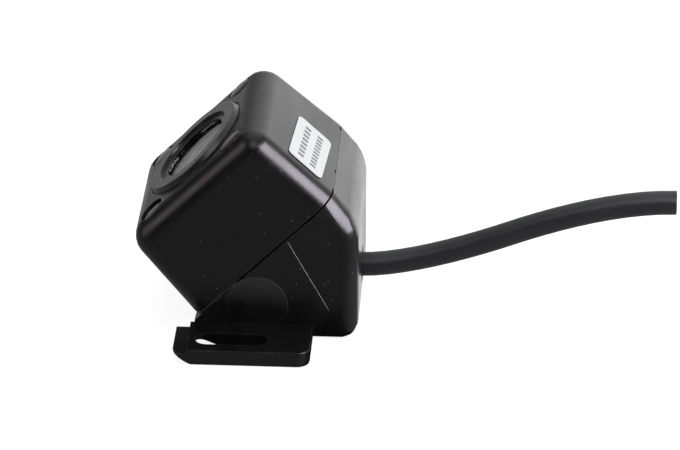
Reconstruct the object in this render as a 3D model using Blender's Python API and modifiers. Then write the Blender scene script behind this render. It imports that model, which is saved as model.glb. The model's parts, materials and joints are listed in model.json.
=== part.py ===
"""Backup camera: a tapered cube housing on a slotted foot, with its optics, boards and cable.

World frame: origin at the centre of the foot's underside, +Z up, +X to the rear where the cable
leaves, +Y across. The optical frame is an empty at the centre of the front face: its +Z looks out
of the lens, its +X climbs the front face and its +Y is the world's.
"""
import bmesh
import bpy
from math import asin, atan, cos, degrees, pi, radians, sin, sqrt
from mathutils import Matrix, Vector

MM = 0.001
OBJECT_NAME = "backup_camera"

# Housing
TILT = radians(44.5)
FACE_HEIGHT = 26.8 * MM
FACE_WIDTH = 27.8 * MM
SEAM_HEIGHT = 29.1 * MM
SEAM_WIDTH = 29.6 * MM
FRONT_DEPTH = 15.95 * MM
FACE_CENTRE = Vector((-8.45, 0.0, 24.5)) * MM
REAR_X = 17.1 * MM
EDGE_RADIUS = 3.2 * MM
REAR_EDGE_RADIUS = 2.6 * MM
HEEL_RADIUS = 2.3 * MM
TOE_EDGE_RADIUS = 0.9 * MM
BASE_EDGE_RADIUS = 1.0 * MM
EDGE_SEGMENTS = 5
WALL = 2.0 * MM
SEAM_GAP = 0.3 * MM
SEAT_MARGIN = 0.9 * MM
SEAT_DROP = 1.2 * MM
GASKET_OUTER_MARGIN = 1.15 * MM
GASKET_INNER_MARGIN = 1.9 * MM
GASKET_TOP_GAP = 0.02 * MM
GASKET_BOTTOM_GAP = 0.25 * MM
CLEARANCE = 0.3 * MM
TIGHT_CLEARANCE = 0.15 * MM

# Foot ears, gussets and side pads
EAR_LENGTH = 20.6 * MM
EAR_REACH = 24.3 * MM
EAR_ROOT = 14.6 * MM
EAR_THICKNESS = 2.45 * MM
EAR_CORNER = 2.0 * MM
EAR_EDGE = 0.25 * MM
SLOT_LENGTH = 11.0 * MM
SLOT_WIDTH = 3.6 * MM
SLOT_X = -1.6 * MM
SLOT_Y = 20.3 * MM
TONGUE_LENGTH = 2.1 * MM
TONGUE_DROP = 0.65 * MM
TONGUE_ROOT = 15.3 * MM
UNDERCUT_LENGTH = 2.9 * MM
NOSE_THICKNESS = 0.2 * MM
RELIEF_HEIGHT = 2.0 * MM
RELIEF_END_X = -2.8 * MM
RELIEF_ROOT = 15.4 * MM
GUSSET_OUTER = 14.95 * MM
GUSSET_INNER = 13.3 * MM
GUSSET_APEX_DROP = 0.3 * MM
GUSSET_APEX_X = 6.55 * MM
GUSSET_TOE_X = -7.6 * MM
GUSSET_FOOT_X = -5.4 * MM
GUSSET_HEEL = Vector((12.8, 4.9)) * MM
PAD_RADIUS = 4.7 * MM
PAD_CENTRE = Vector((1.8, 5.6)) * MM
PAD_PROUD = 0.15 * MM

# Lens ring, window and its clamping
RING_PROUD = 0.74 * MM
RING_TOP_RADIUS = 8.8 * MM
RING_RADIUS = 9.3 * MM
RING_MOUTH = 6.9 * MM
RING_LEDGE_RADIUS = 5.75 * MM
RING_LEDGE_HEIGHT = 0.28 * MM
RING_SKIRT_OUTER = 7.6 * MM
RING_SKIRT_INNER = 6.95 * MM
RING_SKIRT_LENGTH = 5.0 * MM
WINDOW_RADIUS = 6.6 * MM
WINDOW_THICKNESS = 1.0 * MM
WINDOW_SEAL_MAJOR = 6.25 * MM
WINDOW_SEAL_MINOR = 0.45 * MM
RETAINER_OUTER = 6.65 * MM
RETAINER_INNER = 5.6 * MM
RETAINER_LENGTH = 1.7 * MM
NUT_RADIUS = 8.6 * MM
NUT_THICKNESS = 2.2 * MM
NUT_NOTCHES = 4
NUT_NOTCH_HALF = 0.9 * MM
NUT_NOTCH_DEPTH = 0.5 * MM
NUT_NOTCH_LENGTH = 0.8 * MM

# Corner lamps: place on the front face (up, across) and how far each window stands proud
LAMP_UP = 8.4 * MM
LAMP_ACROSS = 9.6 * MM
LAMP_RADIUS = 2.05 * MM
LAMP_STANDS = (0.2 * MM, 0.1 * MM, -0.25 * MM, -0.05 * MM)
LED_RADIUS = 1.5 * MM
LAMP_CROWN = 0.12 * MM

# Boards, standoffs and optics, as depths behind the front face
SENSOR_BOARD_DEPTH = 15.9 * MM
SENSOR_BOARD_THICKNESS = 1.1 * MM
POWER_BOARD_DEPTH = 20.7 * MM
POWER_BOARD_THICKNESS = 1.0 * MM
LED_BOARD_DEPTH = 5.2 * MM
LED_BOARD_THICKNESS = 0.8 * MM
POST_Y = 10.6 * MM
POST_RADIUS = 1.7 * MM
POST_BORE = 1.2 * MM
POST_END = 15.6 * MM
POST_BORE_LENGTH = 5.0 * MM
RIB_HALF = 0.7 * MM
BARREL_RADIUS = 5.85 * MM
BARREL_HEAD_RADIUS = 6.6 * MM
BARREL_HEAD_DEPTH = 6.0 * MM
BARREL_HEAD_LENGTH = 1.6 * MM
BARREL_END = 13.4 * MM
HOLDER_BORE = 6.05 * MM
HOLDER_RADIUS = 7.5 * MM
HOLDER_HALF = 7.7 * MM
HOLDER_TOP = 8.9 * MM
HOLDER_SHOULDER = 12.8 * MM
HOLDER_FLOOR = 13.8 * MM
HOLDER_BOTTOM = 15.6 * MM
HOLDER_SCREW_PLACE = 6.2 * MM
HOLDER_SCREW_HOLE = 0.95 * MM
SENSOR_BOARD_SIZE = Vector((20.6, 24.4)) * MM
POWER_BOARD_SIZE = Vector((17.0, 24.0)) * MM
LED_BOARD_REACH = 11.2 * MM
BOARD_CORNER = 1.5 * MM

# Cable
CABLE_RADIUS = 1.9 * MM
CABLE_Z = 5.6 * MM
CABLE_START_X = 13.5 * MM
CABLE_END = Vector((64.9, 17.4)) * MM
WIRE_RADIUS = 0.38 * MM
WIRE_PITCH = 2.0 * MM
WIRE_PITCH_IN_JACKET = 0.85 * MM
GROMMET_NOSE = 2.6 * MM
GROMMET_FLANGE = 3.3 * MM

# Label
LABEL_SIZE = Vector((6.6, 14.6, 0.12)) * MM
LABEL_DEPTH = 10.7 * MM
LABEL_ACROSS = -3.7 * MM
LABEL_SKEW = radians(-4.0)
LABEL_LIFT = 0.05 * MM
LABEL_CORNER = 0.9 * MM

SMALL_STEPS = 20
ROUND_STEPS = 28
MEDIUM_STEPS = 32
FINE_STEPS = 56
CORNER_SEGMENTS = 5
BEYOND = 1.0 * MM
MERGE = 0.00001

DRAFT_UP = (SEAM_HEIGHT - FACE_HEIGHT) / (2 * FRONT_DEPTH)
DRAFT_ACROSS = (SEAM_WIDTH - FACE_WIDTH) / (2 * FRONT_DEPTH)
REAR_DRAFT_ACROSS = 0.01
UP = Vector((cos(TILT), 0.0, sin(TILT)))
INWARD = Vector((sin(TILT), 0.0, -cos(TILT)))
ACROSS = Vector((0.0, 1.0, 0.0))
ROUGH_BLOCK = 120 * MM


# Scene helpers

def clear_scene():
    for obj in list(bpy.data.objects):
        bpy.data.objects.remove(obj, do_unlink=True)


def make_collection(name):
    collection = bpy.data.collections.new(name)
    bpy.context.scene.collection.children.link(collection)
    return collection


clear_scene()
PARTS = make_collection(OBJECT_NAME)
CUTTERS = make_collection(OBJECT_NAME + "_cutters")


def make_empty(name, location, rotation):
    empty = bpy.data.objects.new(name, None)
    empty.location = location
    empty.rotation_euler = rotation
    PARTS.objects.link(empty)
    return empty


def make_material(name, color, roughness, metallic=0.0):
    material = bpy.data.materials.new(name)
    material.use_nodes = True
    shader = material.node_tree.nodes["Principled BSDF"]
    shader.inputs["Base Color"].default_value = (*color, 1.0)
    shader.inputs["Roughness"].default_value = roughness
    shader.inputs["Metallic"].default_value = metallic
    return material


BLACK = (0.012, 0.012, 0.014)
RUBBER = (0.02, 0.02, 0.02)
BOARD_GREEN = (0.01, 0.09, 0.035)


def add_object(name, mesh, parent=None, collection=None):
    obj = bpy.data.objects.new(name, mesh)
    obj.parent = parent
    (collection or PARTS).objects.link(obj)
    return obj


def finish_part(obj, color, roughness, metallic=0.0):
    obj.data.materials.append(make_material(obj.name, color, roughness, metallic))
    return obj


def mesh_from(bm, name):
    bmesh.ops.recalc_face_normals(bm, faces=bm.faces[:])
    mesh = bpy.data.meshes.new(name)
    bm.to_mesh(mesh)
    bm.free()
    return mesh


def as_cutter(obj):
    PARTS.objects.unlink(obj)
    CUTTERS.objects.link(obj)
    obj.hide_render = True
    obj.display_type = "WIRE"
    return obj


def boolean(obj, tool, operation):
    modifier = obj.modifiers.new(operation.title() + " " + tool.name, "BOOLEAN")
    modifier.operation = operation
    modifier.solver = "EXACT"
    modifier.object = as_cutter(tool)


def cut(obj, tool):
    boolean(obj, tool, "DIFFERENCE")


def join(obj, tool):
    boolean(obj, tool, "UNION")


# Shape helpers

def box(name, low, high, parent=None, edge=0.0, upright_radius=0.0):
    """A box between two corners, with its upright edges and then all its edges rounded."""
    size = Vector(high) - Vector(low)
    centre = (Vector(high) + Vector(low)) / 2
    bm = bmesh.new()
    bmesh.ops.create_cube(bm, size=1.0, matrix=Matrix.LocRotScale(centre, None, size))
    if upright_radius:
        upright = [e for e in bm.edges if abs(e.verts[0].co.z - e.verts[1].co.z) > size.z / 2]
        round_upright(bm, upright, upright_radius)
    obj = add_object(name, mesh_from(bm, name), parent)
    if edge:
        round_edges(obj, edge)
    return obj


def round_upright(bm, edges, radius):
    bmesh.ops.bevel(bm, geom=edges, offset=radius, segments=CORNER_SEGMENTS, profile=0.5, affect="EDGES")


def plate(name, half_up, half_across, low, high, parent, upright_radius=0.0):
    """A box centred on its parent's Z axis, between two heights."""
    return box(name, (-half_up, -half_across, low), (half_up, half_across, high), parent,
               upright_radius=upright_radius)


def between(first, second):
    """Two numbers, the lower one first."""
    return min(first, second), max(first, second)


def round_edges(obj, width, segments=2):
    bevel = obj.modifiers.new("Rounded edges", "BEVEL")
    bevel.width = width
    bevel.segments = segments
    bevel.limit_method = "ANGLE"
    bevel.angle_limit = radians(40)


def rod(name, radius, start, end, parent=None, steps=ROUND_STEPS):
    """A cylinder between two points, given in its parent's frame."""
    start = Vector(start)
    end = Vector(end)
    turn = (end - start).to_track_quat("Z", "Y").to_matrix().to_4x4()
    place = Matrix.Translation((start + end) / 2) @ turn
    bm = bmesh.new()
    bmesh.ops.create_cone(bm, cap_ends=True, segments=steps, radius1=radius, radius2=radius,
                          depth=(end - start).length, matrix=place)
    return add_object(name, mesh_from(bm, name), parent)


def turned(name, profile, parent=None, steps=ROUND_STEPS, closed=True):
    """A solid of revolution about local Z from (radius, height) points, down the outer side first."""
    mesh = bpy.data.meshes.new(name)
    last = len(profile) - 1
    edges = [(i, i + 1) for i in range(last)]
    if closed:
        edges.append((last, 0))
    mesh.from_pydata([(radius, 0.0, height) for radius, height in profile], edges, [])
    obj = add_object(name, mesh, parent)
    screw = obj.modifiers.new("Turned", "SCREW")
    screw.axis = "Z"
    screw.steps = steps
    screw.render_steps = steps
    screw.use_merge_vertices = True
    screw.merge_threshold = MERGE
    screw.use_smooth_shade = True
    return obj


def arc(centre, radius, first, last, steps):
    """Points (radius, height) on an arc in the profile plane, angles in degrees."""
    points = []
    for i in range(steps + 1):
        angle = radians(first + (last - first) * i / steps)
        points.append((centre[0] + radius * cos(angle), centre[1] + radius * sin(angle)))
    return points


def ring_torus(name, major, minor, height, parent):
    points = arc((major, height), minor, 90, -270, 8)[:-1]
    return turned(name, points, parent)


def tube_along(name, points, radius, parent=None, resolution=2):
    """A round wire through straight-line points, closed at both ends."""
    curve = bpy.data.curves.new(name, "CURVE")
    curve.dimensions = "3D"
    curve.bevel_depth = radius
    curve.bevel_resolution = resolution
    curve.use_fill_caps = True
    spline = curve.splines.new("POLY")
    spline.points.add(len(points) - 1)
    for target, point in zip(spline.points, points):
        target.co = (*point, 1.0)
    return add_object(name, curve, parent)


def depth_point(up, across, depth):
    """A point in the optical frame, depth being measured inwards from the front face."""
    return Vector((up, across, -depth))


def optic_to_world(up, across, depth):
    return FACE_CENTRE + UP * up + Vector((0.0, across, 0.0)) + INWARD * depth


# Housing

def frustum_cage(depth):
    """The front half's outer surface, from the front face back to the seam, open at the seam."""
    bm = bmesh.new()
    bmesh.ops.create_cube(bm, size=2.0)
    for vert in bm.verts:
        back = vert.co.z < 0
        reach = depth if back else 0.0
        half_height = FACE_HEIGHT / 2 + DRAFT_UP * reach
        half_width = FACE_WIDTH / 2 + DRAFT_ACROSS * reach
        vert.co = (vert.co.x * half_height, vert.co.y * half_width, -reach)
    seam = [f for f in bm.faces if all(v.co.z < 0 for v in f.verts)]
    bmesh.ops.delete(bm, geom=seam, context="FACES_ONLY")
    return bm


def thicken(obj, thickness):
    solidify = obj.modifiers.new("Wall", "SOLIDIFY")
    solidify.thickness = thickness
    solidify.offset = -1.0
    solidify.use_even_offset = True


def lamp_places():
    """Near upper, far upper, near lower and far lower corner of the front face."""
    return [(up, across) for up in (LAMP_UP, -LAMP_UP) for across in (-LAMP_ACROSS, LAMP_ACROSS)]


def build_front_shell(optic):
    bm = frustum_cage(FRONT_DEPTH - SEAM_GAP / 2)
    shell = add_object("front_shell", mesh_from(bm, "front_shell"), optic)
    round_edges(shell, EDGE_RADIUS, EDGE_SEGMENTS)
    thicken(shell, WALL)
    for side in (-1, 1):
        join_post(shell, side, optic)
    outside = 2 * BEYOND
    seat = depth_point(0, 0, CLEARANCE)
    seat_radius = RING_RADIUS + TIGHT_CLEARANCE
    cut(shell, rod("ring_seat", seat_radius, seat, (0, 0, outside), optic, FINE_STEPS))
    inside = depth_point(0, 0, WALL + BEYOND)
    hole_radius = RING_SKIRT_OUTER + TIGHT_CLEARANCE
    cut(shell, rod("ring_hole", hole_radius, inside, (0, 0, outside), optic, FINE_STEPS))
    for index, (up, across) in enumerate(lamp_places(), start=1):
        start = depth_point(up, across, WALL + 1.6 * BEYOND)
        end = Vector((up, across, outside))
        lamp_hole_radius = LAMP_RADIUS + TIGHT_CLEARANCE
        cut(shell, rod("lamp_hole_" + str(index), lamp_hole_radius, start, end, optic, MEDIUM_STEPS))
    return finish_part(shell, BLACK, 0.32)


def join_post(shell, side, optic):
    """A bored post from the front wall for the boards, with a rib that ties it to the side wall."""
    start = depth_point(0, side * POST_Y, WALL / 2)
    end = depth_point(0, side * POST_Y, POST_END)
    join(shell, rod("post_" + str(side), POST_RADIUS, start, end, optic))
    near, far = between(side * (POST_Y + POST_RADIUS / 2), side * (FACE_WIDTH / 2 - WALL / 2))
    join(shell, box("rib_" + str(side), (-RIB_HALF, near, -POST_END), (RIB_HALF, far, -WALL / 2), optic))
    bore_start = depth_point(0, side * POST_Y, POST_END - POST_BORE_LENGTH)
    bore_end = depth_point(0, side * POST_Y, POST_END + BEYOND)
    cut(shell, rod("post_bore_" + str(side), POST_BORE, bore_start, bore_end, optic, SMALL_STEPS))


def rear_planes(inset):
    """(name, point, outward normal) of the rear half's six planes, moved in by inset."""
    low_corner = optic_to_world(-SEAM_HEIGHT / 2, 0, FRONT_DEPTH)
    high_corner = optic_to_world(SEAM_HEIGHT / 2, 0, FRONT_DEPTH)
    left_corner = optic_to_world(0, SEAM_WIDTH / 2, FRONT_DEPTH)
    right_corner = optic_to_world(0, -SEAM_WIDTH / 2, FRONT_DEPTH)
    planes = [("upper", high_corner, UP + INWARD * DRAFT_UP),
              ("lower", low_corner, INWARD * DRAFT_UP - UP),
              ("left", left_corner, INWARD * REAR_DRAFT_ACROSS + ACROSS),
              ("right", right_corner, INWARD * REAR_DRAFT_ACROSS - ACROSS),
              ("bottom", Vector((0, 0, 0)), Vector((0, 0, -1))),
              ("rear", Vector((REAR_X, 0, 0)), Vector((1, 0, 0)))]
    return [(name, point - normal.normalized() * inset, normal.normalized())
            for name, point, normal in planes]


def edge_radius(names):
    """Rounding of the outer edge between two named planes of the rear half."""
    if names == {"bottom", "rear"}:
        return HEEL_RADIUS
    if "bottom" in names:
        return BASE_EDGE_RADIUS
    if "lower" in names:
        return TOE_EDGE_RADIUS
    if "rear" in names:
        return REAR_EDGE_RADIUS
    return EDGE_RADIUS


def rear_block(name, inset):
    """A block cut back to the rear half's planes, each moved in by inset, with its edges rounded."""
    planes = rear_planes(inset)
    bm = bmesh.new()
    bmesh.ops.create_cube(bm, size=ROUGH_BLOCK)
    for _, point, normal in planes:
        everything = bm.verts[:] + bm.edges[:] + bm.faces[:]
        result = bmesh.ops.bisect_plane(bm, geom=everything, plane_co=point, plane_no=normal,
                                        clear_outer=True)
        border = [g for g in result["geom_cut"] if isinstance(g, bmesh.types.BMEdge)]
        bmesh.ops.edgeloop_fill(bm, edges=border)
    bmesh.ops.recalc_face_normals(bm, faces=bm.faces[:])
    weights = bm.edges.layers.float.new("bevel_weight_edge")
    for edge in bm.edges:
        names = {max(planes, key=lambda p: p[2].dot(face.normal))[0] for face in edge.link_faces}
        edge[weights] = max(edge_radius(names) - inset, 0.0) / EDGE_RADIUS
    block = add_object(name, mesh_from(bm, name))
    bevel = block.modifiers.new("Rounded edges", "BEVEL")
    bevel.width = EDGE_RADIUS
    bevel.segments = EDGE_SEGMENTS
    bevel.limit_method = "WEIGHT"
    return block


def ear_plate(side):
    """A foot ear: a plate with rounded outer corners and broken edges."""
    near, far = between(side * EAR_ROOT, side * EAR_REACH)
    size = Vector((EAR_LENGTH, far - near, EAR_THICKNESS))
    centre = Vector((0, (near + far) / 2, EAR_THICKNESS / 2))
    bm = bmesh.new()
    bmesh.ops.create_cube(bm, size=1.0, matrix=Matrix.LocRotScale(centre, None, size))
    outer = [e for e in bm.edges if all(abs(abs(v.co.y) - EAR_REACH) < MERGE for v in e.verts)]
    upright = [e for e in outer if abs(e.verts[0].co.z - e.verts[1].co.z) > MERGE]
    round_upright(bm, upright, EAR_CORNER)
    ear = add_object("ear_" + str(side), mesh_from(bm, "ear"))
    round_edges(ear, EAR_EDGE)
    return ear


def ear_slot(side):
    """A round-ended slot through an ear, open along the foot's length."""
    low = (SLOT_X - SLOT_LENGTH / 2, side * SLOT_Y - SLOT_WIDTH / 2, -BEYOND)
    high = (SLOT_X + SLOT_LENGTH / 2, side * SLOT_Y + SLOT_WIDTH / 2, EAR_THICKNESS + BEYOND)
    return box("slot_" + str(side), low, high, upright_radius=SLOT_WIDTH / 2 - MERGE)


def tongue_cutters(side):
    """Lower the top of an ear's front end, which leaves a step across it, and set back its inner side."""
    front = -EAR_LENGTH / 2 - BEYOND
    step = -EAR_LENGTH / 2 + TONGUE_LENGTH
    root = side * (EAR_ROOT - BEYOND)
    near, far = between(root, side * (EAR_REACH + BEYOND))
    above = box("tongue_top_" + str(side), (front, near, EAR_THICKNESS - TONGUE_DROP),
                (step, far, EAR_THICKNESS + BEYOND))
    near, far = between(root, side * TONGUE_ROOT)
    beside = box("tongue_side_" + str(side), (front, near, -BEYOND), (step, far, EAR_THICKNESS))
    return above, beside


def prism(name, outline, near, far, parent=None):
    """A prism along Y over an outline of (x, z) points."""
    bm = bmesh.new()
    verts = [bm.verts.new((x, near, z)) for x, z in outline]
    face = bm.faces.new(verts)
    moved = bmesh.ops.extrude_face_region(bm, geom=[face])
    top = [g for g in moved["geom"] if isinstance(g, bmesh.types.BMVert)]
    bmesh.ops.translate(bm, verts=top, vec=(0, far - near, 0))
    return add_object(name, mesh_from(bm, name), parent)


def undercut_cutter(side):
    """Slopes the underside of an ear's front end, which leaves a thin nose."""
    front = -EAR_LENGTH / 2
    top = EAR_THICKNESS - TONGUE_DROP - NOSE_THICKNESS
    slope = UNDERCUT_LENGTH / top
    outline = [(front - BEYOND, top + BEYOND / slope), (front - BEYOND, -BEYOND),
               (front + UNDERCUT_LENGTH + BEYOND * slope, -BEYOND)]
    root = side * (EAR_ROOT - 2 * BEYOND)
    return prism("undercut_" + str(side), outline, root, side * (EAR_REACH + BEYOND))


def slot_relief(side):
    """Hollows an ear's underside between its nose, its slot's front end and the body."""
    front = -EAR_LENGTH / 2
    nose = EAR_THICKNESS - TONGUE_DROP - NOSE_THICKNESS
    outline = [(front - BEYOND, nose), (front + TONGUE_LENGTH, nose),
               (front + UNDERCUT_LENGTH, RELIEF_HEIGHT), (RELIEF_END_X, 0.0),
               (RELIEF_END_X, -BEYOND), (front - BEYOND, -BEYOND)]
    return prism("slot_relief_" + str(side), outline, side * RELIEF_ROOT, side * SLOT_Y)


def seam_line_z(x, drop):
    """Height at x of the line parallel to the seam, drop behind it."""
    depth = FRONT_DEPTH + SEAM_GAP / 2 + drop
    return FACE_CENTRE.z + ((x - FACE_CENTRE.x) * sin(TILT) - depth) / cos(TILT)


def gusset(side):
    """The raised triangle that ties an ear to the side wall, its front edge along the seam."""
    outline = [(GUSSET_APEX_X, seam_line_z(GUSSET_APEX_X, GUSSET_APEX_DROP)),
               (GUSSET_HEEL.x, GUSSET_HEEL.y), (EAR_LENGTH / 2 - EAR_EDGE, EAR_THICKNESS / 2),
               (EAR_LENGTH / 2 - EAR_EDGE, 0.0), (GUSSET_FOOT_X, 0.0), (GUSSET_TOE_X, EAR_THICKNESS / 2),
               (GUSSET_TOE_X, seam_line_z(GUSSET_TOE_X, 0.0))]
    return prism("gusset_" + str(side), outline, side * GUSSET_INNER, side * GUSSET_OUTER)


def side_pad(side):
    """The low round boss on the gusset."""
    inner = Vector((PAD_CENTRE.x, side * GUSSET_INNER, PAD_CENTRE.y))
    outer = Vector((PAD_CENTRE.x, side * (GUSSET_OUTER + PAD_PROUD), PAD_CENTRE.y))
    return rod("pad_" + str(side), PAD_RADIUS, inner, outer, steps=FINE_STEPS)


def gasket_seat(optic):
    """Lowers the inner half of the rear shell's rim, to take the gasket."""
    seat = -FRONT_DEPTH - SEAM_GAP / 2 - SEAT_DROP
    return plate("gasket_seat", SEAM_HEIGHT / 2 - SEAT_MARGIN, SEAM_WIDTH / 2 - SEAT_MARGIN, seat,
                 -FRONT_DEPTH + 2 * BEYOND, optic, EDGE_RADIUS - SEAT_MARGIN)


def build_rear_shell(optic):
    shell = rear_block("rear_shell", 0.0)
    reach = ROUGH_BLOCK
    seam = -FRONT_DEPTH - SEAM_GAP / 2
    cut(shell, box("seam_side", (-reach, -reach, seam), (reach, reach, reach), optic))
    cut(shell, rear_block("rear_inside", WALL))
    for side in (-1, 1):
        join(shell, gusset(side))
        join(shell, side_pad(side))
        join(shell, ear_plate(side))
    for side in (-1, 1):
        cut(shell, ear_slot(side))
        for cutter in tongue_cutters(side):
            cut(shell, cutter)
        cut(shell, undercut_cutter(side))
        cut(shell, slot_relief(side))
    cut(shell, gasket_seat(optic))
    hole_radius = GROMMET_NOSE + CLEARANCE
    cut(shell, rod("cable_hole", hole_radius, (REAR_X - WALL - BEYOND, 0, CABLE_Z),
                   (REAR_X + BEYOND, 0, CABLE_Z), steps=MEDIUM_STEPS))
    return finish_part(shell, BLACK, 0.3)


def build_housing_gasket(optic):
    top = -FRONT_DEPTH - GASKET_TOP_GAP
    bottom = -FRONT_DEPTH - SEAM_GAP / 2 - SEAT_DROP + GASKET_BOTTOM_GAP
    half_up = SEAM_HEIGHT / 2
    half_across = SEAM_WIDTH / 2
    gasket = plate("housing_gasket", half_up - GASKET_OUTER_MARGIN, half_across - GASKET_OUTER_MARGIN,
                   bottom, top, optic, EDGE_RADIUS - GASKET_OUTER_MARGIN)
    cut(gasket, plate("gasket_inside", half_up - GASKET_INNER_MARGIN, half_across - GASKET_INNER_MARGIN,
                      bottom - BEYOND, top + BEYOND, optic, EDGE_RADIUS - GASKET_INNER_MARGIN))
    return finish_part(gasket, RUBBER, 0.8)


# Lens ring and window

def build_lens_ring(optic):
    """The raised ring: a shouldered flange with a stepped mouth, and the skirt that its nut grips."""
    shoulder = 0.16 * MM
    break_edge = 0.08 * MM
    ledge_foot = 0.05 * MM
    profile = [(RING_MOUTH, RING_PROUD - break_edge), (RING_MOUTH + break_edge, RING_PROUD)]
    profile += arc((RING_TOP_RADIUS, RING_PROUD - shoulder), shoulder, 90, 15, 4)
    profile += [(RING_RADIUS, 0.0), (RING_SKIRT_OUTER, 0.0), (RING_SKIRT_OUTER, -RING_SKIRT_LENGTH),
                (RING_SKIRT_INNER, -RING_SKIRT_LENGTH), (RING_SKIRT_INNER, 0.0), (RING_LEDGE_RADIUS, 0.0),
                (RING_LEDGE_RADIUS, RING_LEDGE_HEIGHT - break_edge),
                (RING_LEDGE_RADIUS + break_edge, RING_LEDGE_HEIGHT),
                (RING_MOUTH - ledge_foot, RING_LEDGE_HEIGHT)]
    ring = turned("lens_ring", profile, optic, FINE_STEPS)
    return finish_part(ring, (0.014, 0.014, 0.017), 0.25)


def build_window(optic):
    """The flat window, the round seal behind it and the ring that holds them in the skirt."""
    top = -CLEARANCE
    bottom = top - WINDOW_THICKNESS
    chamfer = 0.15 * MM
    profile = [(0, top), (WINDOW_RADIUS - chamfer, top), (WINDOW_RADIUS, top - chamfer),
               (WINDOW_RADIUS, bottom + chamfer), (WINDOW_RADIUS - chamfer, bottom), (0, bottom)]
    glass = turned("window_glass", profile, optic, FINE_STEPS, closed=False)
    finish_part(glass, (0.5, 0.53, 0.55), 0.03)
    seal_height = bottom - CLEARANCE - WINDOW_SEAL_MINOR
    seal = ring_torus("window_seal", WINDOW_SEAL_MAJOR, WINDOW_SEAL_MINOR, seal_height, optic)
    finish_part(seal, RUBBER, 0.7)
    retainer_top = seal_height - WINDOW_SEAL_MINOR - CLEARANCE
    retainer_bottom = retainer_top - RETAINER_LENGTH
    profile = [(RETAINER_OUTER, retainer_top), (RETAINER_OUTER, retainer_bottom),
               (RETAINER_INNER, retainer_bottom), (RETAINER_INNER, retainer_top)]
    finish_part(turned("window_retainer", profile, optic), BLACK, 0.5)


def build_ring_nut(optic):
    """The nut behind the front wall, with notches for its wrench."""
    top = -WALL - CLEARANCE
    bottom = top - NUT_THICKNESS
    inner = RING_SKIRT_OUTER + TIGHT_CLEARANCE
    nut = turned("ring_nut", [(NUT_RADIUS, top), (NUT_RADIUS, bottom), (inner, bottom), (inner, top)], optic)
    for index in range(NUT_NOTCHES):
        low = (NUT_RADIUS - NUT_NOTCH_DEPTH, -NUT_NOTCH_HALF, bottom - BEYOND)
        high = (NUT_RADIUS + BEYOND, NUT_NOTCH_HALF, bottom + NUT_NOTCH_LENGTH)
        notch = box("nut_notch_" + str(index), low, high, optic)
        notch.data.transform(Matrix.Rotation(2 * pi * (index + 0.5) / NUT_NOTCHES, 4, "Z"))
        cut(nut, notch)
    return finish_part(nut, (0.35, 0.28, 0.12), 0.35, 1.0)


# Lamps

def build_lamps(optic):
    """Each corner's crowned window and the round-nosed LED behind it."""
    back = -WALL - CLEARANCE
    led_top = back - CLEARANCE
    led_base = -LED_BOARD_DEPTH + CLEARANCE
    for index, (up, across) in enumerate(lamp_places(), start=1):
        top = LAMP_STANDS[index - 1]
        profile = [(0, top), (LAMP_RADIUS * 0.5, top - LAMP_CROWN * 0.25),
                   (LAMP_RADIUS * 0.85, top - LAMP_CROWN * 0.75), (LAMP_RADIUS, top - LAMP_CROWN * 1.6),
                   (LAMP_RADIUS, back), (0, back)]
        window = turned("lamp_window_" + str(index), profile, optic, MEDIUM_STEPS, closed=False)
        window.location = (up, across, 0)
        finish_part(window, (0.03, 0.03, 0.035), 0.12)
        nose = arc((0, led_top - LED_RADIUS), LED_RADIUS, 90, 0, 5)
        profile = nose + [(LED_RADIUS, led_base), (0, led_base)]
        led = turned("led_" + str(index), profile, optic, SMALL_STEPS, closed=False)
        led.location = (up, across, 0)
        finish_part(led, (0.75, 0.76, 0.7), 0.15)


def build_led_boards(optic):
    """A board across the two upper lamps and one across the two lower ones, each with its lead."""
    corner = 0.8 * MM
    inner_reach = 5.4 * MM
    outer_reach = 11.1 * MM
    for name, side in (("upper", 1), ("lower", -1)):
        near, far = between(side * inner_reach, side * outer_reach)
        low = (near, -LED_BOARD_REACH, -LED_BOARD_DEPTH - LED_BOARD_THICKNESS)
        high = (far, LED_BOARD_REACH, -LED_BOARD_DEPTH)
        board = box("led_board_" + name, low, high, optic, upright_radius=corner)
        room_start = depth_point(0, 0, LED_BOARD_DEPTH - 2 * BEYOND)
        room_end = depth_point(0, 0, LED_BOARD_DEPTH + LED_BOARD_THICKNESS + 2 * BEYOND)
        cut(board, rod("nut_room_" + name, NUT_RADIUS + CLEARANCE, room_start, room_end, optic))
        finish_part(board, BOARD_GREEN, 0.4)
        build_led_lead(name, side, optic)


def build_led_lead(name, side, optic):
    """The wire from an LED board's back, bent inwards once, to the sensor board."""
    across = 5.0 * MM
    upper = side * 9.6 * MM
    lower = side * 9.2 * MM
    points = [depth_point(upper, across, LED_BOARD_DEPTH + LED_BOARD_THICKNESS + TIGHT_CLEARANCE),
              depth_point(upper, across, 9.0 * MM), depth_point(lower, across, 12.0 * MM),
              depth_point(lower, across, SENSOR_BOARD_DEPTH - TIGHT_CLEARANCE)]
    lead = tube_along("led_lead_" + name, points, WIRE_RADIUS, optic)
    finish_part(lead, (0.5, 0.03, 0.02), 0.45)


# Optics

def build_lens(optic):
    """Barrel, cap ring and two glass elements, all on the optical axis that the barrel turns about."""
    build_lens_barrel(optic)
    build_front_element(optic)
    build_rear_element(optic)


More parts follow.
